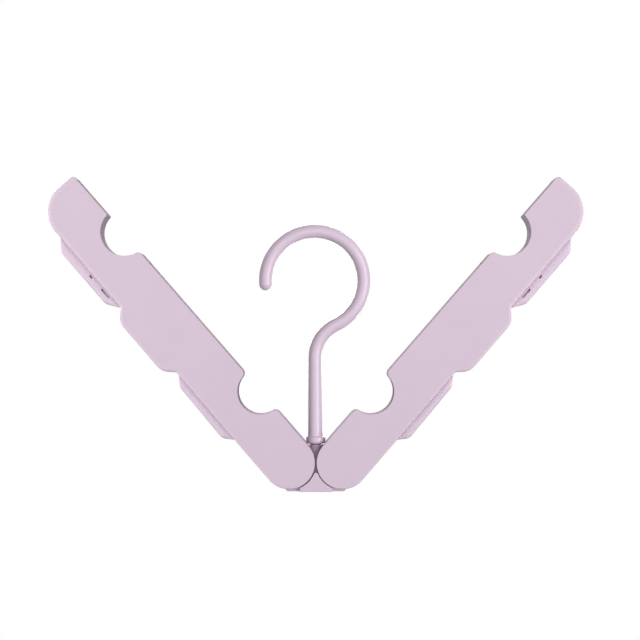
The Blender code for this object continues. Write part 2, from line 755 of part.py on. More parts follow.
def make_arm(side_name, side, plastic, nylon, steel):
    turn = -side * PHOTO_ANGLE
    frame = empty(side_name + "_arm_pivot", side * HALF_SPACING, PIVOT_HEIGHT, turn)
    make_front_shell(side_name + "_arm_front_shell", side, plastic, frame)
    make_back_shell(side_name + "_arm_back_shell", side, plastic, frame)
    for place, (x, z) in SHELL_SCREWS.items():
        name = side_name + "_arm_" + place + "_screw"
        make_screw(name, SCREW_DIAMETER, SCREW_HEAD_DIAMETER, (side * x, z), steel, frame)
    name = side_name + "_pivot_screw"
    make_screw(name, PIVOT_SCREW_DIAMETER, PIVOT_SCREW_HEAD_DIAMETER, (0, 0), steel, frame)
    for place, outward in (("front", -1), ("back", 1)):
        make_washer(side_name + "_" + place + "_washer", outward, nylon, frame)


def main():
    clear_scene()
    plastic = lilac_plastic()
    steel = screw_steel()
    nylon = washer_nylon()
    make_hook(hook_plastic())
    make_hub(hub_plastic(), steel)
    for side_name, side in SIDES.items():
        make_arm(side_name, side, plastic, nylon, steel)


main()
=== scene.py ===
"""Looks of the folding travel hanger: finely rounded mouldings, screws, materials, camera and light.

Every piece stands where its CAD node is and rides on that node's body. Metres, +Z up, +Y away from
the viewer. Each arm is drawn in its own frame, x along the arm from its pivot and z across it, with
+z towards the edge that carries the strap notches.
"""
import math
from collections import namedtuple

import bmesh
import bpy
from mathutils import Matrix, Vector


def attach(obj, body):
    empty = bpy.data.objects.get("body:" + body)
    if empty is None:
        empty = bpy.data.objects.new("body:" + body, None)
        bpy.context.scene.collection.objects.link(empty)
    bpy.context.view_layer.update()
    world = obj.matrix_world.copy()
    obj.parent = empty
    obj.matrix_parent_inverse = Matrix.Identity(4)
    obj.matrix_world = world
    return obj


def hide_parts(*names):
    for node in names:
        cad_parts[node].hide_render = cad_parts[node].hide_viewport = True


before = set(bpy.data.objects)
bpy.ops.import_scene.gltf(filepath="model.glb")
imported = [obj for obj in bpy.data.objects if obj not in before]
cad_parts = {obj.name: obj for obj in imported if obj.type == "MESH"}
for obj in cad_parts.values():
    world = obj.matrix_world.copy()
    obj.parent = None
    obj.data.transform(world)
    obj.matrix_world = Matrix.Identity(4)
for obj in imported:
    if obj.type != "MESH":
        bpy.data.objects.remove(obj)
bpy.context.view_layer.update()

# Facets and fits
TOUCH_GAP = 0.0003
OVERRUN = 0.0020
FINE_STEP = math.radians(4)
TIP_MOUTH_STEP = math.radians(12)
ROOT_MOUTH_STEP = math.radians(8)
CURL_STEP = math.radians(2.5)
COLLAR_STEP = math.radians(9)
ROD_END_STEP = math.radians(9.6)
ROD_END_ROWS = 9
EDGE_ROWS = 6
BOWL_ROWS = 12
HEAD_ROWS = 8
ROUND_SIDES = 64
SCREW_SIDES = 40
# Angles in degrees past which a crease is drawn sharp
SHARP_ANGLE = 30
HOOK_SHARP_ANGLE = 35
SCREW_SHARP_ANGLE = 25

# Arms
ARM_DEPTH = 0.0140
ARM_HALF_WIDTH = 0.0131
WALL = 0.0018
TAPER = 0.0009
ROOT_EDGE = 0.0010
TIP_EDGE = 0.0024
CRISP_EDGE = 0.0003
SEAM_EDGE = 0.00012
TAB_EDGE = 0.0024
# The spans of facing (1 is down or outward) and of drop below the lower edge over which edges soften,
# and how far past the outer notch the notched edge stays crisp
SOFT_FACING = (0.25, 0.75)
TAB_EASE = (0.0008, 0.0030)
CRISP_RUN = 0.0030
CAVITY_RADIUS = 0.0012
TIP_LENGTH = 0.05775
TIP_LOWER_RADIUS = 0.0153
TIP_UPPER_RADIUS = 0.0018
LOBE_FOOT_RADIUS = 0.0018
SLOT_WIDTH = 0.0009
SLOT_DEPTH = 0.0030
SLOT_DROP = 0.0013

# Pivots and hub
ARM_GAP = 0.0004
PHOTO_ANGLE = math.radians(49.25)
DROOP_ANGLE = math.radians(12)
STUD_DIAMETER = 0.0070
WASHER_DIAMETER = 0.0130
WASHER_THICKNESS = 0.0004
LUG_RADIUS = 0.0088
LUG_FOOT_ANGLE = math.radians(-62)
HUB_TOP = 0.0090
HUB_SHOULDER = 0.0060
HUB_EDGE = 0.0005
BASE_THICKNESS = 0.0032
BASE_CHAMFER = 0.0009
BASE_LEDGE = 0.00135
WING_REACH = 0.0016
KEYSTONE_DROP = 0.0054
KEYSTONE_PEAK = 0.0009
KEYSTONE_HALF_WIDTH = 0.0080
KEYSTONE_GAP = 0.0005
RECESS_FOOT = 0.0020
RECESS_DEPTH = 0.0022
TUBE_RIM = 0.0005
RIM_ANGLES = (0.0, 0.5, 1.0, math.pi / 2)
SOCKET_CHAMFER = 0.0003
HUB_SCREW_RISE = 0.0044

# Hook
ROD_DIAMETER = 0.0066
STEM_DIAMETER = 0.0072
STEM_FOOT_OFFSET = -0.0003
STEM_OFFSET = -0.0005
CURL_HEIGHT = 0.0916
CURL_OFFSET = -0.0006
CURL_END = math.radians(184)
CURL_REACH = 0.0281
BEND_RADIUS = 0.0187
CHANNEL_CLEARANCE = 0.0012
COLLAR_DIAMETER = 0.0097
COLLAR_HEIGHT = 0.0037
COLLAR_TOP_ROUND = 0.0010
COLLAR_TOP_END = math.radians(8)
BOWL_HEIGHT = 0.0016
BOWL_REACH = 0.0015
BOWL_FLAT = 0.0002
FLANGE_FOOT = -0.0026
FLANGE_TOP = -0.0008
FLANGE_RADIUS = 0.0030
FLANGE_CHAMFER = 0.0003
SPINDLE_RADIUS = 0.0022
TUBE_RADIUS = 0.0034
# Heights above the collar, and how much wider the stem is there
STEM_FLARE = ((0.0001, 0.0004), (0.0003, 0.0002), (0.0007, 0.00007), (0.0014, 0.0))

# Screws
SCREW_DIAMETER = 0.0020
SCREW_HEAD_DIAMETER = 0.0042
SCREW_HEAD_HEIGHT = 0.0012
SCREW_HEAD_DEPTH = 0.0004
SCREW_REACH = 0.0080
POST_DIAMETER = 0.0050
PIVOT_SCREW_DIAMETER = 0.0030
PIVOT_SCREW_HEAD_DIAMETER = 0.0056
HOLE_CHAMFER = 0.0002
HEAD_CHAMFER = 0.00012
HEAD_RIM = 0.42  # share of the head's height
HEAD_FLAT = 0.60  # share of the head's radius
THREAD_PITCH = 0.0008
THREAD_CREST = (0.40, 0.55)  # shares of the pitch
THREAD_ROOT = 0.80  # this and the next two are shares of the screw's radius
POINT_SHOULDER = 0.86
NECK = 0.84
POINT_RADIUS = 1 / 5  # this and the next are shares of the screw's diameter
POINT_LENGTH = 1 / 4
# The driver's cross: its turn, its depth, and the half length and half width of its arms at the foot
# and at the mouth, as shares of the head's radius
CROSS_TURN = math.radians(20)
CROSS_DEPTH = 0.8
CROSS_FOOT = (0.22, 0.10)
CROSS_MOUTH = (0.62, 0.17)
CROSS_OVERRUN = 0.0005

# Materials: colours, lows and highs of slow changes, scales of noise, and depths in metres
Plastic = namedtuple("Plastic", "name colour spread roughness grain_scale grain_depth specular")
ARM_PLASTIC = Plastic("satin_lilac", (0.680, 0.558, 0.665), 0.012, (0.48, 0.58), 9000.0, 0.00001, 0.06)
HUB_PLASTIC = Plastic("hub_lilac_painted_shade", (0.692, 0.560, 0.676), 0.012, (0.48, 0.58), 9000.0, 0.00001, 0.06)
HOOK_PLASTIC = Plastic("gloss_lilac", (0.690, 0.555, 0.680), 0.010, (0.18, 0.24), 5000.0, 0.000002, 0.5)
# Painted shade for the hub: the colour it darkens towards deep in its recess between the arms, and the
# depths in from the face over which that darkening sets in
HUB_PAINTED_SHADE_COLOUR = (0.46, 0.33, 0.43)
HUB_PAINTED_SHADE_DEPTHS = (0.0015, 0.0030)
NOISE_SPAN = (0.3, 0.7)
NOISE_DETAIL = 3.0
CLOUD_SCALE = 60.0
PATCH_SCALE = 400.0
GRAIN_DETAIL = 2.0
GRAIN_STRENGTH = 0.5
WAVE_SCALE = 90.0
WAVE_DETAIL = 1.0
WAVE_DEPTH = 0.0003
WAVE_STRENGTH = 0.15
STEEL_COLOURS = ((0.50, 0.50, 0.49), (0.62, 0.615, 0.60))
STEEL_ROUGHNESS = (0.24, 0.38)
STEEL_SCALE = 900.0
STREAK_SCALE = 2500.0
STREAK_STRETCH = (1, 12, 1)
NYLON_COLOURS = ((0.70, 0.69, 0.66), (0.75, 0.74, 0.72))
NYLON_ROUGHNESS = (0.34, 0.46)
NYLON_SCALE = 500.0
NYLON_PATCH_SCALE = 3000.0
NYLON_GRAIN_SCALE = 6000.0
FINE_DEPTH = 0.00002
FINE_STRENGTH = 0.4

# Studio: the world's and the floor's levels, and lamps with their sizes in metres and powers in watts
WHITE = (1, 1, 1, 1)
WORLD_LEVEL = 0.29
FLOOR_RADIUS = 0.80
FLOOR_SIDES = 96
FLOOR_HEIGHT = -0.40
FLOOR_COLOUR = (0.90, 0.90, 0.90, 1)
FLOOR_ROUGHNESS = 0.9
FLOOR_GLOW = 0.42
LIT_POINT = (0, 0, -0.06)
Softbox = namedtuple("Softbox", "spot width height power")
FRONT_BOX = Softbox((0.0, -1.80, 0.0), 1.4, 2.2, 10.6)
HOOK_BOXES = {
    "key": Softbox((1.15, -1.15, 0.10), 1.0, 1.3, 17.5),
    "back": Softbox((0.0, 1.7, 0.1), 0.5, 0.5, 23.0),
}
# The right arm's own lamps; the left arm's are their mirror images
ARM_BOXES = {
    "key": Softbox((0.35, -1.9, 0.7), 1.0, 1.0, 18.8),
    "rim": Softbox((1.5, -0.25, -0.42), 0.6, 0.6, 10.5),
    "back": Softbox((1.2, 1.5, 0.2), 1.0, 1.0, 34.0),
}

# Camera: lengths of the lens in millimetres, shift in widths of the frame
SENSOR_WIDTH = 36
FOCAL_LENGTH = 78.75
CAMERA_SHIFT = (0.00625, 0.0234)
CAMERA_SPOT = (0.0001, -0.707, -0.0490)
NEAR_CLIP = 0.05

# Places that follow from the sizes above
FACE = ARM_DEPTH / 2
PLATE_INSIDE = FACE - WALL
PARTING = TOUCH_GAP / 2
LUG_FACE = PLATE_INSIDE - WASHER_THICKNESS - 2 * TOUCH_GAP
WALL_INSIDE = ARM_HALF_WIDTH - WALL
HALF_SPACING = ARM_HALF_WIDTH + ARM_GAP
CURL_RADIUS = CURL_REACH - ROD_DIAMETER / 2
PIVOT_HEIGHT = -(CURL_HEIGHT + CURL_RADIUS - ROD_DIAMETER / 2)
PIVOT_LEVEL = Matrix.Translation((0, 0, PIVOT_HEIGHT))
CHANNEL_END = math.hypot(HALF_SPACING - CURL_OFFSET, CURL_HEIGHT) + CURL_REACH + CHANNEL_CLEARANCE
ARM_LENGTH = CHANNEL_END + TIP_LENGTH
LONG_SLOT = (CHANNEL_END + 0.0002, CHANNEL_END + 0.0060)
SHORT_SLOT = (CHANNEL_END + 0.0131, CHANNEL_END + 0.0151)
BASE_DEPTH = ARM_HALF_WIDTH + BASE_LEDGE
BASE_HALF_WIDTH = HALF_SPACING + WING_REACH
COLLAR_BASE = HUB_TOP + TOUCH_GAP
COLLAR_TOP = COLLAR_BASE + COLLAR_HEIGHT
COLLAR_RADIUS = COLLAR_DIAMETER / 2
HEAD_SEAT = FACE - SCREW_HEAD_DEPTH - SCREW_HEAD_HEIGHT
POST_END = PLATE_INSIDE - WALL - TOUCH_GAP
SCREW_HOLE_RADIUS = SCREW_DIAMETER / 2 + TOUCH_GAP
PIVOT_HOLE_RADIUS = PIVOT_SCREW_DIAMETER / 2 + TOUCH_GAP
STUD_HOLE_RADIUS = STUD_DIAMETER / 2 + TOUCH_GAP
Lobe = namedtuple("Lobe", "start length root_reach tip_reach root_flank tip_flank radius")
FRONT_LOBE = Lobe(CURL_HEIGHT - 0.0204, 0.0429, 0.0054, 0.0054, 0.0051, 0.0051, 0.0085)
INNER_TAB = Lobe(0.0259, 0.0443, 0.0050, 0.0044, 0.0050, 0.0050, 0.0052)
OUTER_TAB = Lobe(CHANNEL_END - 0.0086, 0.0482, 0.0054, 0.0054, 0.0079, 0.0053, 0.0060)
Notch = namedtuple("Notch", "place height radius tip_mouth root_mouth")
INNER_NOTCH = Notch(0.0364, ARM_HALF_WIDTH - 0.0005, 0.01145, 0.0030, 0.0030)
OUTER_NOTCH = Notch(CHANNEL_END + 0.01935, ARM_HALF_WIDTH + 0.0001, 0.01195, 0.0007, 0.0025)
SHELL_SCREWS = {
    "root": (0.0300, -WALL_INSIDE + 0.0051),
    "middle": (OUTER_NOTCH.place, -WALL_INSIDE + 0.0051),
    "tip": (ARM_LENGTH - 0.0117, -WALL_INSIDE + 0.0093),
}
HUB_SCREW_HEIGHT = -BASE_DEPTH + HUB_SCREW_RISE

SIDES = {"left": -1, "right": 1}


# Outlines


def arc(centre, radius, start, end, step=FINE_STEP):
    """Points along an arc, both ends included; a falling angle runs clockwise."""
    steps = max(2, math.ceil(abs(end - start) / step))
    angles = [start + (end - start) * i / steps for i in range(steps + 1)]
    return [(centre[0] + radius * math.cos(a), centre[1] + radius * math.sin(a)) for a in angles]


def rounded(corners):
    """An outline from corners (x, z, radius): each corner with a radius becomes a tangent arc."""
    points = []
    for i, (x, z, radius) in enumerate(corners):
        if radius == 0:
            points.append((x, z))
            continue
        here = Vector((x, z))
        back = (Vector(corners[i - 1][:2]) - here).normalized()
        ahead = (Vector(corners[(i + 1) % len(corners)][:2]) - here).normalized()
        half = math.acos(max(-1, min(1, back.dot(ahead)))) / 2
        centre = here + (back + ahead).normalized() * (radius / math.sin(half))
        start = here + back * (radius / math.tan(half)) - centre
        end = here + ahead * (radius / math.tan(half)) - centre
        first = math.atan2(start.y, start.x)
        turn = math.remainder(math.atan2(end.y, end.x) - first, math.tau)
        points += arc(centre, radius, first, first + turn)
    return points


def sharp(points):
    return [(x, z, 0) for x, z in points]


def upper_edge(place_on):
    """The height of the notched edge, which falls slightly towards the tip."""
    return ARM_HALF_WIDTH - TAPER * place_on / ARM_LENGTH


def mouth_arc(shape, side):
    """One rounded corner of a notch's mouth: its centre, radius and the angle where the notch begins."""
    radius = shape.tip_mouth if side > 0 else shape.root_mouth
    height = upper_edge(shape.place + side * (shape.radius + radius)) - radius
    reach = shape.radius + radius
    lift = math.asin((height - shape.height) / reach)
    return (shape.place + side * reach * math.cos(lift), height), radius, lift


def notch(shape):
    """The outline round one strap notch, from its tip side to its pivot side."""
    tip_centre, tip_radius, tip_lift = mouth_arc(shape, 1)
    root_centre, root_radius, root_lift = mouth_arc(shape, -1)
    points = arc(tip_centre, tip_radius, math.pi / 2, math.pi + tip_lift, TIP_MOUTH_STEP)
    points += arc((shape.place, shape.height), shape.radius, tip_lift, -math.pi - root_lift)[1:-1]
    points += arc(root_centre, root_radius, -root_lift, math.pi / 2, ROOT_MOUTH_STEP)
    return points


def lobe(shape, inset):
    """The corners of one lobe below an arm's lower edge; inset moves them inward for its hollow."""
    base = -ARM_HALF_WIDTH + inset
    root_slant = inset * math.tan(math.atan2(shape.root_reach, shape.root_flank) / 2)
    tip_slant = inset * math.tan(math.atan2(shape.tip_reach, shape.tip_flank) / 2)
    end = shape.start + shape.length
    return [
        (shape.start + root_slant, base, LOBE_FOOT_RADIUS),
        (shape.start + shape.root_flank + root_slant, base - shape.root_reach, shape.radius - inset),
        (end - shape.tip_flank - tip_slant, base - shape.tip_reach, shape.radius - inset),
        (end - tip_slant, base, LOBE_FOOT_RADIUS),
    ]


def arm_outline(lobes):
    corners = sharp(arc((0, 0), ARM_HALF_WIDTH, math.pi / 2, math.pi * 3 / 2))
    for shape in lobes:
        corners += lobe(shape, 0)
    corners.append((ARM_LENGTH, -ARM_HALF_WIDTH, TIP_LOWER_RADIUS))
    corners.append((ARM_LENGTH, upper_edge(ARM_LENGTH), TIP_UPPER_RADIUS))
    for shape in (OUTER_NOTCH, INNER_NOTCH):
        corners += sharp(notch(shape))
    return rounded(corners)


def smooth(low, high, value):
    share = max(0, min(1, (value - low) / (high - low)))
    return share * share * (3 - 2 * share)


def edge_radii(outline):
    """Soft along the lower edge and the tip, easing to crisp round the pivot end and the notched edge."""
    radii = []
    for i, (x, z) in enumerate(outline):
        before = outline[i - 1]
        after = outline[(i + 1) % len(outline)]
        way = Vector((after[1] - before[1], before[0] - after[0])).normalized()
        softness = smooth(*SOFT_FACING, max(-way.y, way.x))
        if z > 0 and x < OUTER_NOTCH.place + OUTER_NOTCH.radius + CRISP_RUN:
            softness = 0
        soft = ROOT_EDGE + (TIP_EDGE - ROOT_EDGE) * x / ARM_LENGTH
        radii.append(CRISP_EDGE + (soft - CRISP_EDGE) * softness)
    return radii


def seam_radii(outline):
    """The parting edge: a fine chamfer, eased into a full rounding along the tabs."""
    radii = []
    for _, z in outline:
        share = smooth(*TAB_EASE, -ARM_HALF_WIDTH - z)
        radii.append(SEAM_EDGE + (TAB_EDGE - SEAM_EDGE) * share)
    return radii


def wall_start():
    wing = BASE_HALF_WIDTH + TOUCH_GAP - HALF_SPACING
    return (wing + ARM_HALF_WIDTH * math.sin(DROOP_ANGLE)) / math.cos(DROOP_ANGLE)


def channel_outline(lobes):
    low = -WALL_INSIDE
    outside = ARM_HALF_WIDTH + OVERRUN
    corners = [
        (-outside, outside, 0),
        (-outside, -outside, 0),
        (wall_start(), -outside, 0),
        (wall_start(), low, 0),
    ]
    for shape in lobes:
        corners += lobe(shape, WALL)
    corners.append((CHANNEL_END, low, CAVITY_RADIUS))
    corners.append((CHANNEL_END, outside, 0))
    return rounded(corners)


def tip_outline():
    start = CHANNEL_END + WALL
    centre = (OUTER_NOTCH.place, OUTER_NOTCH.height)
    radius = OUTER_NOTCH.radius + WALL
    top = upper_edge(ARM_LENGTH) - WALL
    dip = math.asin((centre[1] - top) / radius)
    end = ARM_LENGTH - WALL
    corners = [
        (start, -WALL_INSIDE, CAVITY_RADIUS),
        (end, -WALL_INSIDE, TIP_LOWER_RADIUS - WALL),
        (end, top, TIP_UPPER_RADIUS / 2),
    ]
    corners += sharp(arc(centre, radius, -dip, -math.pi + dip))
    corners.append((start, top, CAVITY_RADIUS / 2))
    return rounded(corners)


def slot_outline(span):
    top = -ARM_HALF_WIDTH - SLOT_DROP
    return [(span[0], top - SLOT_WIDTH), (span[1], top - SLOT_WIDTH), (span[1], top), (span[0], top)]


def window_outline():
    wall_face = HALF_SPACING + WALL_INSIDE + CURL_OFFSET
    half = math.sqrt(CURL_REACH ** 2 - wall_face ** 2) + CHANNEL_CLEARANCE
    low = -ARM_HALF_WIDTH - OVERRUN
    start = CURL_HEIGHT - half
    end = CURL_HEIGHT + half
    return [(start, low), (end, low), (end, -WALL_INSIDE + WALL), (start, -WALL_INSIDE + WALL)]


def hub_outline():
    lug_high = math.acos(HUB_SHOULDER / 2 / LUG_RADIUS)
    wing_inside = -BASE_DEPTH + BASE_THICKNESS
    right = [
        (BASE_HALF_WIDTH - BASE_CHAMFER, -BASE_DEPTH),
        (BASE_HALF_WIDTH, -BASE_DEPTH + BASE_CHAMFER),
        (BASE_HALF_WIDTH, wing_inside),
    ]
    right += arc((HALF_SPACING, 0), LUG_RADIUS, LUG_FOOT_ANGLE, math.pi - lug_high)
    right.append((HUB_SHOULDER, HUB_TOP))
    return right + [(-x, z) for x, z in reversed(right)]


def keystone_outline():
    radius = ARM_HALF_WIDTH + KEYSTONE_GAP
    top = math.pi + math.asin(KEYSTONE_DROP / radius)
    foot = math.pi + math.acos((HALF_SPACING - KEYSTONE_HALF_WIDTH) / radius)
    right = [(KEYSTONE_HALF_WIDTH, -BASE_DEPTH)]
    right += arc((HALF_SPACING, 0), radius, foot, top)
    peak = [(0, -KEYSTONE_DROP + KEYSTONE_PEAK)]
    return right + peak + [(-x, z) for x, z in reversed(right)]


# Solids


def join_rings(builder, rings):
    for lower, upper in zip(rings, rings[1:]):
        for i in range(len(lower)):
            j = (i + 1) % len(lower)
            builder.faces.new((lower[i], lower[j], upper[j], upper[i]))
    builder.faces.new(list(reversed(rings[0])))
    builder.faces.new(rings[-1])
    bmesh.ops.recalc_face_normals(builder, faces=builder.faces)


def prism(outline, front, back, side=1):
    builder = bmesh.new()
    rings = [[builder.verts.new((side * x, y, z)) for x, z in outline] for y in (front, back)]
    join_rings(builder, rings)
    return builder


def inward(outline):
    ways = []
    for i, (x, z) in enumerate(outline):
        before = Vector((x, z)) - Vector(outline[i - 1])
        after = Vector(outline[(i + 1) % len(outline)]) - Vector((x, z))
        first = Vector((-before.y, before.x)).normalized()
        second = Vector((-after.y, after.x)).normalized()
        middle = (first + second).normalized()
        ways.append(middle / middle.dot(first))
    return ways


def soft_slab(outline, edges, face, parting, side, seams=None):
    """A slab with a rounded edge on its outer face and a fine or rounded edge at the parting line."""
    builder = bmesh.new()
    ways = inward(outline)
    outward = math.copysign(1, face)
    seams = seams or [SEAM_EDGE] * len(outline)
    rings = []

    def add_ring(radii, level, sense, angle):
        ring = []
        for (x, z), way, radius in zip(outline, ways, radii):
            inset = radius * (1 - math.sin(angle))
            depth = level + sense * radius * (1 - math.cos(angle))
            ring.append(builder.verts.new((side * (x + way.x * inset), depth, z + way.y * inset)))
        rings.append(ring)

    for row in range(EDGE_ROWS + 1):
        add_ring(edges, face, -outward, math.pi / 2 * row / EDGE_ROWS)
    for row in range(EDGE_ROWS, -1, -1):
        add_ring(seams, parting, outward, math.pi / 2 * row / EDGE_ROWS)
    join_rings(builder, rings)
    return builder


def lathe(profile, sides, centre=(0, 0)):
    """A turned solid about the Y axis through centre (x, z), from (y, radius) pairs front to back."""
    builder = bmesh.new()
    rings = []
    for y, radius in profile:
        ring = []
        for i in range(sides):
            angle = math.tau * i / sides
            x = centre[0] + radius * math.cos(angle)
            z = centre[1] + radius * math.sin(angle)
            ring.append(builder.verts.new((x, y, z)))
        rings.append(ring)
    join_rings(builder, rings)
    return builder


def cylinder(front, back, radius, sides, centre=(0, 0)):
    return lathe(((front, radius), (back, radius)), sides, centre)


def new_object(name, builder):
    mesh = bpy.data.meshes.new(name)
    builder.to_mesh(mesh)
    builder.free()
    piece = bpy.data.objects.new(name, mesh)
    bpy.context.collection.objects.link(piece)
    return piece


def carve(piece, steps):
    """Runs Boolean steps (operation, builder) on a piece and keeps the plain result."""
    tools = []
    for number, (operation, builder) in enumerate(steps):
        tool = new_object(piece.name + "_tool_" + str(number), builder)
        modifier = piece.modifiers.new(tool.name, "BOOLEAN")
        modifier.operation = operation
        modifier.solver = "EXACT"
        modifier.object = tool
        tools.append(tool)
    settle(piece)
    for tool in tools:
        mesh = tool.data
        bpy.data.objects.remove(tool, do_unlink=True)
        bpy.data.meshes.remove(mesh)


def settle(piece):
    """Replaces a piece's mesh by what its modifiers make of it."""
    bpy.context.view_layer.update()
    graph = bpy.context.evaluated_depsgraph_get()
    mesh = bpy.data.meshes.new_from_object(piece.evaluated_get(graph))
    piece.modifiers.clear()
    old = piece.data
    piece.data = mesh
    bpy.data.meshes.remove(old)


def shade(piece, angle=SHARP_ANGLE):
    piece.data.shade_smooth()
    piece.data.set_sharp_from_angle(angle=math.radians(angle))
    modifier = piece.modifiers.new("face_normals", "WEIGHTED_NORMAL")
    modifier.keep_sharp = True
    modifier.weight = 100
    settle(piece)


def place(piece, matrix, material, node, body):
    """Puts a piece where its node is, hides that node's part, gives it its material and body and returns
    it.
    """
    piece.data.transform(matrix)
    piece.data.materials.clear()
    piece.data.materials.append(material)
    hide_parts(node)
    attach(piece, body)
    return piece


# Pieces


def hook_stations():
    """Centre points, directions and radii up the spindle, collar and stem and round the curl."""
    stem = STEM_DIAMETER / 2
    rod = ROD_DIAMETER / 2
    turned = [
        (FLANGE_FOOT, FLANGE_RADIUS - FLANGE_CHAMFER),
        (FLANGE_FOOT + FLANGE_CHAMFER, FLANGE_RADIUS),
        (FLANGE_TOP - FLANGE_CHAMFER, FLANGE_RADIUS),
        (FLANGE_TOP, FLANGE_RADIUS - FLANGE_CHAMFER),
        (FLANGE_TOP, SPINDLE_RADIUS),
        (COLLAR_BASE, SPINDLE_RADIUS),
        (COLLAR_BASE, COLLAR_RADIUS - BOWL_REACH - BOWL_FLAT),
    ]
    turned += collar_profile()

    run = BEND_RADIUS + STEM_OFFSET - CURL_OFFSET
    rise = math.sqrt((BEND_RADIUS + CURL_RADIUS) ** 2 - run ** 2)
    bend_centre = (BEND_RADIUS + STEM_OFFSET, CURL_HEIGHT - rise)
    curl_centre = (CURL_OFFSET, CURL_HEIGHT)
    meet = math.atan2(rise, -run)
    stations = [((0, z), math.pi / 2, radius) for z, radius in turned]
    for height, flare in STEM_FLARE:
        stations.append(((STEM_FOOT_OFFSET, COLLAR_TOP + height), math.pi / 2, stem + flare))

    def along(centre, radius, start, end, sense):
        steps = math.ceil(abs(end - start) / CURL_STEP)
        for i in range(steps + 1):
            angle = start + (end - start) * i / steps
            place_on = (centre[0] + radius * math.cos(angle), centre[1] + radius * math.sin(angle))
            yield place_on, angle + sense * math.pi / 2

    bend = list(along(bend_centre, BEND_RADIUS, math.pi, meet, -1))
    curl = list(along(curl_centre, CURL_RADIUS, meet - math.pi, CURL_END, 1))
    for spot, heading in bend + curl[1:]:
        stations.append((spot, heading, rod))
    (x, z), heading, _ = stations[-1]
    for i in range(1, ROD_END_ROWS + 1):
        angle = ROD_END_STEP * i
        ahead = rod * math.sin(angle)
        spot = (x + ahead * math.cos(heading), z + ahead * math.sin(heading))
        stations.append((spot, heading, rod * math.cos(angle)))
    return stations


def collar_profile():
    """The turned bead: a bowl-shaped underside, a full belly and a rounded top."""
    points = []
    for i in range(BOWL_ROWS + 1):
        angle = math.pi / 2 * i / BOWL_ROWS
        height = COLLAR_BASE + BOWL_HEIGHT * (1 - math.cos(angle))
        points.append((height, COLLAR_RADIUS - BOWL_REACH * (1 - math.sin(angle))))
    centre = (COLLAR_TOP - COLLAR_TOP_ROUND, COLLAR_RADIUS - COLLAR_TOP_ROUND)
    return points + arc(centre, COLLAR_TOP_ROUND, math.pi / 2, COLLAR_TOP_END, COLLAR_STEP)


def make_hook(material):
    builder = bmesh.new()
    rings = []
    for (x, z), heading, radius in hook_stations():
        ring = []
        for i in range(ROUND_SIDES):
            angle = math.tau * i / ROUND_SIDES
            across = radius * math.cos(angle)
            depth = radius * math.sin(angle)
            spot = (x - across * math.sin(heading), depth, z + across * math.cos(heading))
            ring.append(builder.verts.new(spot))
        rings.append(ring)
    join_rings(builder, rings)
    piece = new_object("hook_moulding", builder)
    shade(piece, HOOK_SHARP_ANGLE)
    return place(piece, PIVOT_LEVEL, material, "hook", "hook")


def counterbore(start, hole, head_diameter, centre=(0, 0)):
    """A screw's hole with the wider seat of its head, chamfered at the back face."""
    seat = HEAD_SEAT - TOUCH_GAP
    head_hole = head_diameter / 2 + TOUCH_GAP
    profile = (
        (start, hole),
        (seat, hole),
        (seat, head_hole),
        (FACE - HOLE_CHAMFER, head_hole),
        (FACE, head_hole + HOLE_CHAMFER),
        (FACE + OVERRUN, head_hole + HOLE_CHAMFER),
    )
    return lathe(profile, SCREW_SIDES, centre)


def screw_hole(outward, centre):
    if outward < 0:
        return cylinder(-LUG_FACE, OVERRUN, SCREW_HOLE_RADIUS, SCREW_SIDES, centre)
    return counterbore(-OVERRUN, SCREW_HOLE_RADIUS, SCREW_HEAD_DIAMETER, centre)


def upright(builder):
    """Turns a lathe's solid from the Y axis to the Z axis."""
    for vertex in builder.verts:
        x, y, z = vertex.co
        vertex.co = (x, -z, y)
    return builder


def swivel_tube(outward):
    """One half of the round wall about the hook's spindle, with a rounded rim."""
    rings = []
    builder = bmesh.new()
    lift = math.asin(PARTING / TUBE_RADIUS)
    rows = [(RECESS_FOOT - WALL, 0.0)]
    for angle in RIM_ANGLES:
        height = HUB_TOP - TUBE_RIM + TUBE_RIM * math.sin(angle)
        rows.append((height, TUBE_RIM * (1 - math.cos(angle))))
    for height, inset in rows:
        half_round = arc((0, 0), TUBE_RADIUS - inset, lift, math.pi - lift)
        rings.append([builder.verts.new((x, outward * max(y, PARTING), height)) for x, y in half_round])
    join_rings(builder, rings)
    return builder


def recess_outline():
    half = HALF_SPACING - LUG_RADIUS
    top = HUB_TOP + OVERRUN
    return [(-half, RECESS_FOOT), (half, RECESS_FOOT), (half, top), (-half, top)]


def swivel_socket():
    spindle = SPINDLE_RADIUS + TOUCH_GAP
    flange = FLANGE_RADIUS + TOUCH_GAP
    profile = (
        (FLANGE_FOOT - TOUCH_GAP, flange),
        (FLANGE_TOP + TOUCH_GAP, flange),
        (FLANGE_TOP + TOUCH_GAP, spindle),
        (HUB_TOP - SOCKET_CHAMFER, spindle),
        (HUB_TOP, spindle + SOCKET_CHAMFER),
        (HUB_TOP + OVERRUN, spindle + SOCKET_CHAMFER),
    )
    return upright(lathe(profile, SCREW_SIDES))


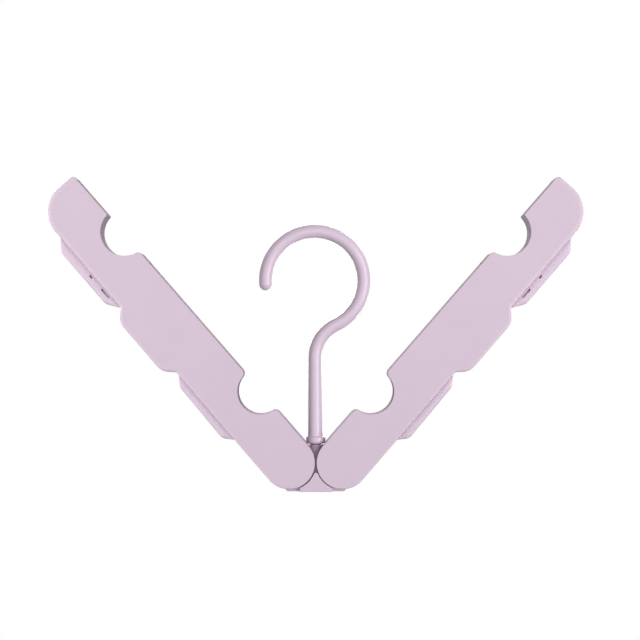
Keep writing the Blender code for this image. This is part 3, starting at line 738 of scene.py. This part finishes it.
def make_hub_half(name, outward, material):
    outline = hub_outline()
    slab = soft_slab(outline, [HUB_EDGE] * len(outline), outward * LUG_FACE, outward * PARTING, 1)
    piece = new_object(name + "_moulding", slab)
    inside = outward * (LUG_FACE - WALL / 2)
    keystone = keystone_outline()
    steps = [("UNION", soft_slab(keystone, [CRISP_EDGE] * len(keystone), outward * FACE, inside, 1))]
    floor = outward * (LUG_FACE - RECESS_DEPTH)
    steps.append(("DIFFERENCE", prism(recess_outline(), floor, outward * (LUG_FACE + OVERRUN))))
    steps.append(("UNION", swivel_tube(outward)))
    steps.append(("DIFFERENCE", swivel_socket()))
    for side in SIDES.values():
        bore = cylinder(-ARM_DEPTH, ARM_DEPTH, STUD_HOLE_RADIUS, ROUND_SIDES, (side * HALF_SPACING, 0))
        steps.append(("DIFFERENCE", bore))
    steps.append(("DIFFERENCE", screw_hole(outward, (0, HUB_SCREW_HEIGHT))))
    carve(piece, steps)
    shade(piece)
    return place(piece, PIVOT_LEVEL, material, name, "hub")


def arm_matrix(side):
    turn = Matrix.Rotation(-side * PHOTO_ANGLE, 4, "Y")
    return Matrix.Translation((side * HALF_SPACING, 0, PIVOT_HEIGHT)) @ turn


def make_front_shell(side_name, side, material):
    outline = arm_outline([FRONT_LOBE])
    node = side_name + "_arm_front_shell"
    piece = new_object(node + "_moulding", soft_slab(outline, edge_radii(outline), -FACE, -PARTING, side))
    steps = [
        ("DIFFERENCE", prism(channel_outline([FRONT_LOBE]), -PLATE_INSIDE, OVERRUN, side)),
        ("DIFFERENCE", prism(tip_outline(), -PLATE_INSIDE, OVERRUN, side)),
    ]
    root = -FACE + WALL / 2
    steps.append(("UNION", cylinder(root, LUG_FACE - TOUCH_GAP * 3, STUD_DIAMETER / 2, ROUND_SIDES)))
    steps.append(("DIFFERENCE", cylinder(-LUG_FACE, LUG_FACE, PIVOT_HOLE_RADIUS, SCREW_SIDES)))
    for x, z in SHELL_SCREWS.values():
        centre = (side * x, z)
        hole = cylinder(-LUG_FACE, LUG_FACE, SCREW_HOLE_RADIUS, SCREW_SIDES, centre)
        steps.append(("UNION", cylinder(root, POST_END, POST_DIAMETER / 2, SCREW_SIDES, centre)))
        steps.append(("DIFFERENCE", hole))
    carve(piece, steps)
    shade(piece)
    return place(piece, arm_matrix(side), material, node, side_name + "_arm")


def make_back_shell(side_name, side, material):
    outline = arm_outline([INNER_TAB, OUTER_TAB])
    node = side_name + "_arm_back_shell"
    slab = soft_slab(outline, edge_radii(outline), FACE, PARTING, side, seam_radii(outline))
    piece = new_object(node + "_moulding", slab)
    steps = []
    for span in (LONG_SLOT, SHORT_SLOT):
        steps.append(("DIFFERENCE", prism(slot_outline(span), -OVERRUN, PARTING + SLOT_DEPTH, side)))
    steps.append(("DIFFERENCE", prism(channel_outline([]), -OVERRUN, PLATE_INSIDE, side)))
    steps.append(("DIFFERENCE", prism(tip_outline(), -OVERRUN, PLATE_INSIDE, side)))
    window = ROD_DIAMETER / 2 + TOUCH_GAP * 2
    steps.append(("DIFFERENCE", prism(window_outline(), -OVERRUN, window, side)))
    root = FACE - WALL / 2
    steps.append(("UNION", cylinder(LUG_FACE - TOUCH_GAP * 2, root, STUD_DIAMETER / 2, ROUND_SIDES)))
    steps.append(("DIFFERENCE", counterbore(0, PIVOT_HOLE_RADIUS, PIVOT_SCREW_HEAD_DIAMETER)))
    for x, z in SHELL_SCREWS.values():
        centre = (side * x, z)
        boss_radius = SCREW_HEAD_DIAMETER / 2 + WALL / 2
        steps.append(("UNION", cylinder(PLATE_INSIDE - WALL, root, boss_radius, SCREW_SIDES, centre)))
        steps.append(("DIFFERENCE", screw_hole(1, centre)))
    carve(piece, steps)
    shade(piece)
    return place(piece, arm_matrix(side), material, node, side_name + "_arm")


def cross_recess(centre, radius, top):
    """The tapered cross of a driver recess, as two crossed wedges."""
    tools = []
    levels = ((top - radius * CROSS_DEPTH, *CROSS_FOOT), (top + CROSS_OVERRUN, *CROSS_MOUTH))
    for turn in (CROSS_TURN, CROSS_TURN + math.pi / 2):
        builder = bmesh.new()
        along = Vector((math.cos(turn), 0, math.sin(turn)))
        across = Vector((-math.sin(turn), 0, math.cos(turn)))
        middle = Vector((centre[0], 0, centre[1]))
        rings = []
        for y, length, width in levels:
            ring = []
            for a, b in ((-1, -1), (1, -1), (1, 1), (-1, 1)):
                spot = middle + along * (a * length * radius) + across * (b * width * radius)
                ring.append(builder.verts.new((spot.x, y, spot.z)))
            rings.append(ring)
        join_rings(builder, rings)
        tools.append(("DIFFERENCE", builder))
    return tools


def make_screw(name, diameter, head_diameter, centre, matrix, material, body):
    """A screw with its point, thread, domed head and driver's cross, in from the back face."""
    top = FACE - SCREW_HEAD_DEPTH
    tip = FACE - SCREW_REACH
    head = head_diameter / 2
    shank = diameter / 2
    shoulder = tip + diameter * POINT_LENGTH
    profile = [(tip, diameter * POINT_RADIUS), (shoulder, shank * POINT_SHOULDER)]
    y = shoulder + THREAD_PITCH / 4
    while y < HEAD_SEAT - THREAD_PITCH:
        profile.append((y, shank * THREAD_ROOT))
        profile += [(y + THREAD_PITCH * share, shank) for share in THREAD_CREST]
        y += THREAD_PITCH
    profile.append((HEAD_SEAT - THREAD_PITCH / 4, shank * NECK))
    profile.append((HEAD_SEAT, shank))
    profile.append((HEAD_SEAT, head - HEAD_CHAMFER))
    profile.append((HEAD_SEAT + HEAD_CHAMFER, head))
    rim = HEAD_SEAT + SCREW_HEAD_HEIGHT * HEAD_RIM
    for i in range(HEAD_ROWS + 1):
        angle = math.pi / 2 * i / HEAD_ROWS
        radius = head * (HEAD_FLAT + (1 - HEAD_FLAT) * math.cos(angle))
        profile.append((rim + (top - rim) * math.sin(angle), radius))
    piece = new_object(name + "_turned", lathe(profile, SCREW_SIDES, centre))
    carve(piece, cross_recess(centre, head, top))
    shade(piece, SCREW_SHARP_ANGLE)
    return place(piece, matrix, material, name, body)


def make_washer(side_name, place_name, outward, side, material):
    middle = outward * (LUG_FACE + PLATE_INSIDE) / 2
    half = WASHER_THICKNESS / 2
    rim = WASHER_DIAMETER / 2
    chamfer = half / 3
    profile = (
        (middle - half, rim - chamfer),
        (middle - half + chamfer, rim),
        (middle + half - chamfer, rim),
        (middle + half, rim - chamfer),
    )
    node = side_name + "_" + place_name + "_washer"
    piece = new_object(node + "_ring", lathe(profile, ROUND_SIDES))
    hole = cylinder(middle - OVERRUN, middle + OVERRUN, STUD_HOLE_RADIUS, ROUND_SIDES)
    carve(piece, [("DIFFERENCE", hole)])
    shade(piece)
    return place(piece, arm_matrix(side), material, node, side_name + "_arm")


def make_middle(hook_plastic, hub_plastic, steel):
    """The hook and all the pieces of the hub."""
    spot = (0, HUB_SCREW_HEIGHT)
    return [
        make_hook(hook_plastic),
        make_hub_half("hub_front_half", -1, hub_plastic),
        make_hub_half("hub_back_half", 1, hub_plastic),
        make_screw("hub_screw", SCREW_DIAMETER, SCREW_HEAD_DIAMETER, spot, PIVOT_LEVEL, steel, "hub"),
    ]


def make_arm(side_name, side, plastic, steel, nylon):
    """All the pieces of one arm."""
    body = side_name + "_arm"
    screws = [
        (body + "_" + place_name + "_screw", SCREW_DIAMETER, SCREW_HEAD_DIAMETER, (side * x, z))
        for place_name, (x, z) in SHELL_SCREWS.items()
    ]
    screws.append((side_name + "_pivot_screw", PIVOT_SCREW_DIAMETER, PIVOT_SCREW_HEAD_DIAMETER, (0, 0)))
    pieces = [make_front_shell(side_name, side, plastic), make_back_shell(side_name, side, plastic)]
    pieces += [make_screw(*screw, arm_matrix(side), steel, body) for screw in screws]
    pieces.append(make_washer(side_name, "front", -1, side, nylon))
    pieces.append(make_washer(side_name, "back", 1, side, nylon))
    return pieces


# Materials


def shader_of(name):
    material = bpy.data.materials.new(name)
    material.use_nodes = True
    tree = material.node_tree
    return material, tree, tree.nodes["Principled BSDF"]


def noise(tree, coordinates, scale, detail=NOISE_DETAIL):
    node = tree.nodes.new("ShaderNodeTexNoise")
    node.inputs["Scale"].default_value = scale
    node.inputs["Detail"].default_value = detail
    tree.links.new(coordinates, node.inputs["Vector"])
    return node.outputs["Fac"]


def ramp(tree, value, low, high):
    """Maps a value over the noise's span to low..high; low and high are numbers or colours."""
    if isinstance(low, tuple):
        node = tree.nodes.new("ShaderNodeValToRGB")
        for element, position, colour in zip(node.color_ramp.elements, NOISE_SPAN, (low, high)):
            element.position = position
            element.color = (*colour, 1)
        tree.links.new(value, node.inputs["Fac"])
        return node.outputs["Color"]
    node = tree.nodes.new("ShaderNodeMapRange")
    node.inputs["From Min"].default_value = NOISE_SPAN[0]
    node.inputs["From Max"].default_value = NOISE_SPAN[1]
    node.inputs["To Min"].default_value = low
    node.inputs["To Max"].default_value = high
    tree.links.new(value, node.inputs["Value"])
    return node.outputs["Result"]


def bump(tree, height, distance, strength, before=None):
    node = tree.nodes.new("ShaderNodeBump")
    node.inputs["Distance"].default_value = distance
    node.inputs["Strength"].default_value = strength
    tree.links.new(height, node.inputs["Height"])
    if before is not None:
        tree.links.new(before, node.inputs["Normal"])
    return node.outputs["Normal"]


def paint_recess_shade(tree, coordinates, colour, inside):
    """Paints shade into the hub's colour: it turns towards the given shade colour where the hub lies deep
    between the arms, above its base.
    """
    split = tree.nodes.new("ShaderNodeSeparateXYZ")
    tree.links.new(coordinates, split.inputs["Vector"])
    depth = tree.nodes.new("ShaderNodeMath")
    depth.operation = "ABSOLUTE"
    tree.links.new(split.outputs["Y"], depth.inputs[0])
    share = tree.nodes.new("ShaderNodeMapRange")
    share.inputs["From Min"].default_value = FACE - HUB_PAINTED_SHADE_DEPTHS[0]
    share.inputs["From Max"].default_value = FACE - HUB_PAINTED_SHADE_DEPTHS[1]
    tree.links.new(depth.outputs["Value"], share.inputs["Value"])
    above = tree.nodes.new("ShaderNodeMapRange")
    above.inputs["From Min"].default_value = PIVOT_HEIGHT - BASE_DEPTH + BASE_THICKNESS
    above.inputs["From Max"].default_value = PIVOT_HEIGHT - KEYSTONE_DROP
    tree.links.new(split.outputs["Z"], above.inputs["Value"])
    both = tree.nodes.new("ShaderNodeMath")
    both.operation = "MULTIPLY"
    tree.links.new(share.outputs["Result"], both.inputs[0])
    tree.links.new(above.outputs["Result"], both.inputs[1])
    mix = tree.nodes.new("ShaderNodeMix")
    mix.data_type = "RGBA"
    tree.links.new(both.outputs["Value"], mix.inputs["Factor"])
    tree.links.new(colour, mix.inputs["A"])
    mix.inputs["B"].default_value = (*inside, 1)
    return mix.outputs["Result"]


def moulded_plastic(look, inside=None):
    """Moulded plastic: slow cloudiness in its colour, fine spark grain, a slightly uneven gloss and,
    where inside is given, painted shade towards that colour in the hub's recess.
    """
    material, tree, shader = shader_of(look.name)
    coordinates = tree.nodes.new("ShaderNodeTexCoord").outputs["Object"]
    cloud = noise(tree, coordinates, CLOUD_SCALE)
    low = tuple(c * (1 - look.spread) for c in look.colour)
    high = tuple(c * (1 + look.spread) for c in look.colour)
    cloudy = ramp(tree, cloud, low, high)
    # Painted shade: the hub's colour darkens deep in its recess, where shade falls between the arms
    if inside is not None:
        cloudy = paint_recess_shade(tree, coordinates, cloudy, inside)
    tree.links.new(cloudy, shader.inputs["Base Color"])
    patches = noise(tree, coordinates, PATCH_SCALE)
    tree.links.new(ramp(tree, patches, *look.roughness), shader.inputs["Roughness"])
    grain = noise(tree, coordinates, look.grain_scale, GRAIN_DETAIL)
    wave = noise(tree, coordinates, WAVE_SCALE, WAVE_DETAIL)
    surface = bump(tree, wave, WAVE_DEPTH, WAVE_STRENGTH)
    grained = bump(tree, grain, look.grain_depth, GRAIN_STRENGTH, surface)
    tree.links.new(grained, shader.inputs["Normal"])
    shader.inputs["Specular IOR Level"].default_value = look.specular
    return material


def plated_steel():
    """Zinc-plated steel, faintly brushed and slightly dulled."""
    material, tree, shader = shader_of("zinc_steel")
    coordinates = tree.nodes.new("ShaderNodeTexCoord").outputs["Object"]
    stretch = tree.nodes.new("ShaderNodeMapping")
    stretch.inputs["Scale"].default_value = STREAK_STRETCH
    tree.links.new(coordinates, stretch.inputs["Vector"])
    streaks = noise(tree, stretch.outputs["Vector"], STREAK_SCALE)
    colour = ramp(tree, noise(tree, coordinates, STEEL_SCALE), *STEEL_COLOURS)
    tree.links.new(colour, shader.inputs["Base Color"])
    tree.links.new(ramp(tree, streaks, *STEEL_ROUGHNESS), shader.inputs["Roughness"])
    tree.links.new(bump(tree, streaks, FINE_DEPTH, FINE_STRENGTH), shader.inputs["Normal"])
    shader.inputs["Metallic"].default_value = 1
    return material


def natural_nylon():
    """Undyed nylon, slightly cloudy, with an uneven matt surface."""
    material, tree, shader = shader_of("natural_nylon")
    coordinates = tree.nodes.new("ShaderNodeTexCoord").outputs["Object"]
    colour = ramp(tree, noise(tree, coordinates, NYLON_SCALE), *NYLON_COLOURS)
    tree.links.new(colour, shader.inputs["Base Color"])
    patches = noise(tree, coordinates, NYLON_PATCH_SCALE)
    tree.links.new(ramp(tree, patches, *NYLON_ROUGHNESS), shader.inputs["Roughness"])
    grain = noise(tree, coordinates, NYLON_GRAIN_SCALE)
    tree.links.new(bump(tree, grain, FINE_DEPTH, FINE_STRENGTH), shader.inputs["Normal"])
    return material


# Studio


def seen_directly(tree):
    """1 for what the camera sees straight, through glass or mirrored, and 0 for light cast on others."""
    path = tree.nodes.new("ShaderNodeLightPath")
    seen = path.outputs["Is Camera Ray"]
    for other in ("Is Glossy Ray", "Is Transmission Ray"):
        either = tree.nodes.new("ShaderNodeMath")
        either.operation = "MAXIMUM"
        tree.links.new(seen, either.inputs[0])
        tree.links.new(path.outputs[other], either.inputs[1])
        seen = either.outputs["Value"]
    return seen


def make_floor():
    """A pale disc that keeps shadows and looks paler to the camera than the light it casts."""
    builder = bmesh.new()
    bmesh.ops.create_circle(builder, cap_ends=True, segments=FLOOR_SIDES, radius=FLOOR_RADIUS)
    floor = new_object("studio_floor", builder)
    floor.location = (0, 0, FLOOR_HEIGHT)
    material, tree, shader = shader_of("floor_white")
    shader.inputs["Base Color"].default_value = FLOOR_COLOUR
    shader.inputs["Roughness"].default_value = FLOOR_ROUGHNESS
    shader.inputs["Emission Color"].default_value = WHITE
    glow = tree.nodes.new("ShaderNodeMath")
    glow.operation = "MULTIPLY"
    glow.inputs[1].default_value = FLOOR_GLOW
    tree.links.new(seen_directly(tree), glow.inputs[0])
    tree.links.new(glow.outputs["Value"], shader.inputs["Emission Strength"])
    floor.data.materials.append(material)


def make_world():
    """A white background that lights the hanger only faintly."""
    world = bpy.data.worlds.new("white_studio")
    bpy.context.scene.world = world
    world.use_nodes = True
    tree = world.node_tree
    tree.nodes.clear()
    around = tree.nodes.new("ShaderNodeBackground")
    around.inputs["Color"].default_value = WHITE
    around.inputs["Strength"].default_value = WORLD_LEVEL
    white = tree.nodes.new("ShaderNodeBackground")
    white.inputs["Color"].default_value = WHITE
    white.inputs["Strength"].default_value = 1.0
    mix = tree.nodes.new("ShaderNodeMixShader")
    tree.links.new(seen_directly(tree), mix.inputs["Fac"])
    tree.links.new(around.outputs["Background"], mix.inputs[1])
    tree.links.new(white.outputs["Background"], mix.inputs[2])
    output = tree.nodes.new("ShaderNodeOutputWorld")
    tree.links.new(mix.outputs["Shader"], output.inputs["Surface"])


def add_softbox(name, look, side=1):
    """A rectangular lamp aimed at the hanger; side -1 mirrors its place."""
    lamp = bpy.data.lights.new(name, "AREA")
    lamp.shape = "RECTANGLE"
    lamp.size = look.width
    lamp.size_y = look.height
    lamp.energy = look.power
    box = bpy.data.objects.new(name, lamp)
    bpy.context.collection.objects.link(box)
    spot = Vector((side * look.spot[0], look.spot[1], look.spot[2]))
    box.location = spot
    box.rotation_euler = (Vector(LIT_POINT) - spot).to_track_quat("-Z", "Y").to_euler()
    return box


def light_only(box, pieces):
    """Lets a lamp light only these pieces of the scene; the photo's two arms are lit as mirror images."""
    lit = bpy.data.collections.new(box.name + "_receivers")
    for piece in pieces:
        lit.objects.link(piece)
    box.light_linking.receiver_collection = lit


def make_lamps(middle, arms):
    """One front lamp for everything, and lamps of their own for the middle pieces and for each arm."""
    add_softbox("front_box", FRONT_BOX)
    for place_name, look in HOOK_BOXES.items():
        light_only(add_softbox("hook_" + place_name + "_box", look), middle)
    for side_name, side in SIDES.items():
        for place_name, look in ARM_BOXES.items():
            box = add_softbox(side_name + "_" + place_name + "_box", look, side)
            light_only(box, arms[side_name])


def make_camera():
    lens = bpy.data.cameras.new("photo_camera")
    lens.sensor_width = SENSOR_WIDTH
    lens.lens = FOCAL_LENGTH
    lens.shift_x, lens.shift_y = CAMERA_SHIFT
    lens.clip_start = NEAR_CLIP
    camera = bpy.data.objects.new("photo_camera", lens)
    bpy.context.collection.objects.link(camera)
    camera.location = CAMERA_SPOT
    camera.rotation_euler = (math.pi / 2, 0, 0)
    bpy.context.scene.camera = camera


def main():
    arm_plastic = moulded_plastic(ARM_PLASTIC)
    # The hub's material paints shade into its recess
    hub_plastic = moulded_plastic(HUB_PLASTIC, HUB_PAINTED_SHADE_COLOUR)
    hook_plastic = moulded_plastic(HOOK_PLASTIC)
    nylon = natural_nylon()
    steel = plated_steel()
    middle = make_middle(hook_plastic, hub_plastic, steel)
    arms = {name: make_arm(name, side, arm_plastic, steel, nylon) for name, side in SIDES.items()}
    make_floor()
    make_world()
    make_lamps(middle, arms)
    make_camera()
    bpy.context.scene.view_settings.view_transform = "Standard"


main()
